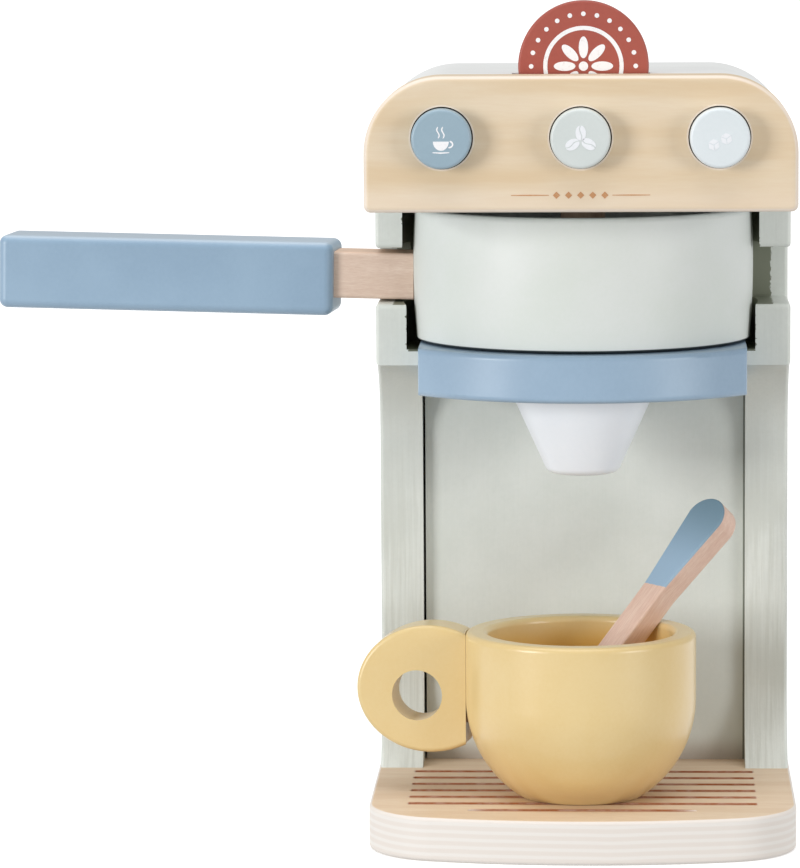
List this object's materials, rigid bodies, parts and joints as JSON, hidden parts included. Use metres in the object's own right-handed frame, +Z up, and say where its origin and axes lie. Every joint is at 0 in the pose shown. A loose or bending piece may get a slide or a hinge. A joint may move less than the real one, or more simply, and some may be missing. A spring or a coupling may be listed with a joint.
{
  "type": "toy coffee maker",
  "caption": "Wooden play espresso machine with a swinging long-handled pot, press buttons, a slot-in pod, a blue shelf with a spout, and a cup with a stirrer on the base.",
  "frame": {"origin": "middle of the base board's underside", "axes": "+X to the right as seen from the front, +Y to the back, +Z up"},
  "size_m": [0.2225, 0.1344, 0.2297],
  "materials": {
    "natural_wood": "clear matt lacquer on plywood, burnt grooves",
    "beech": "bare sanded beech",
    "sage_paint": "satin sage-grey paint, wood grain showing through",
    "pot_paint": "satin pale grey-green paint",
    "pale_paint": "satin off-white paint",
    "white_paint": "satin white paint",
    "blue_paint": "satin dusty-blue paint",
    "blue_cap_paint": "satin slate-blue paint",
    "grey_cap_paint": "satin sage-grey paint",
    "white_cap_paint": "satin ice-white paint",
    "red_paint": "matt brick-red paint with a pale printed ring",
    "yellow_paint": "satin straw-yellow paint",
    "zinc": "zinc-plated steel"
  },
  "bodies": {
    "machine": {"base_board": "natural_wood", "side_panel_left": "sage_paint", "side_panel_right": "sage_paint", "column_panel": "sage_paint", "rear_board": "sage_paint", "shelf": "blue_paint", "spout": "white_paint", "spout_dowel": "beech", "hood": "pale_paint", "header_board": "natural_wood", "plunger_rail": "beech", "header_dowels": "beech", "hood_dowels": "beech", "shelf_dowels": "beech", "keeper_peg": "beech", "base_screws": "zinc", "rear_screws": "zinc"},
    "pot": {"pot_ring": "pot_paint", "pot_floor": "pot_paint", "pot_neck": "beech", "pot_grip": "blue_paint"},
    "pod": {"pod": "red_paint"},
    "cup": {"cup_body": "yellow_paint", "cup_handle": "yellow_paint", "cup_dowels": "beech"},
    "stirrer": {"stirrer": "beech"},
    "button_left": {"button_cap_left": "blue_cap_paint", "plunger_left": "beech", "spring_left": "zinc", "washer_left": "zinc", "stop_screw_left": "zinc"},
    "button_middle": {"button_cap_middle": "grey_cap_paint", "plunger_middle": "beech", "spring_middle": "zinc", "washer_middle": "zinc", "stop_screw_middle": "zinc"},
    "button_right": {"button_cap_right": "white_cap_paint", "plunger_right": "beech", "spring_right": "zinc", "washer_right": "zinc", "stop_screw_right": "zinc"}
  },
  "joints": [
    {"name": "pot_swing", "type": "hinge", "parent": "machine", "child": "pot", "pos_m": [0, 0.01075, 0.1343], "axis": [0, 0, 1], "range_deg": [-2.5, 192.5]},
    {"name": "button_left_press", "type": "slide", "parent": "machine", "child": "button_left", "axis": [0, 1, 0], "range_m": [0, 0.004], "stiffness_N_per_m": 250, "springref_m": -0.004, "deforming": ["spring_left"]},
    {"name": "button_middle_press", "type": "slide", "parent": "machine", "child": "button_middle", "axis": [0, 1, 0], "range_m": [0, 0.004], "stiffness_N_per_m": 250, "springref_m": -0.004, "deforming": ["spring_middle"]},
    {"name": "button_right_press", "type": "slide", "parent": "machine", "child": "button_right", "axis": [0, 1, 0], "range_m": [0, 0.004], "stiffness_N_per_m": 250, "springref_m": -0.004, "deforming": ["spring_right"]},
    {"name": "pod_lift", "type": "slide", "parent": "machine", "child": "pod", "axis": [0, 0, 1], "range_m": [0, 0.04]},
    {"name": "cup_pull_out", "type": "slide", "parent": "machine", "child": "cup", "axis": [0, -1, 0], "range_m": [0, 0.12]},
    {"name": "stirrer_lift", "type": "slide", "parent": "cup", "child": "stirrer", "axis": [0.5907, 0.2588, 0.7643], "range_m": [0, 0.05]}
  ]
}
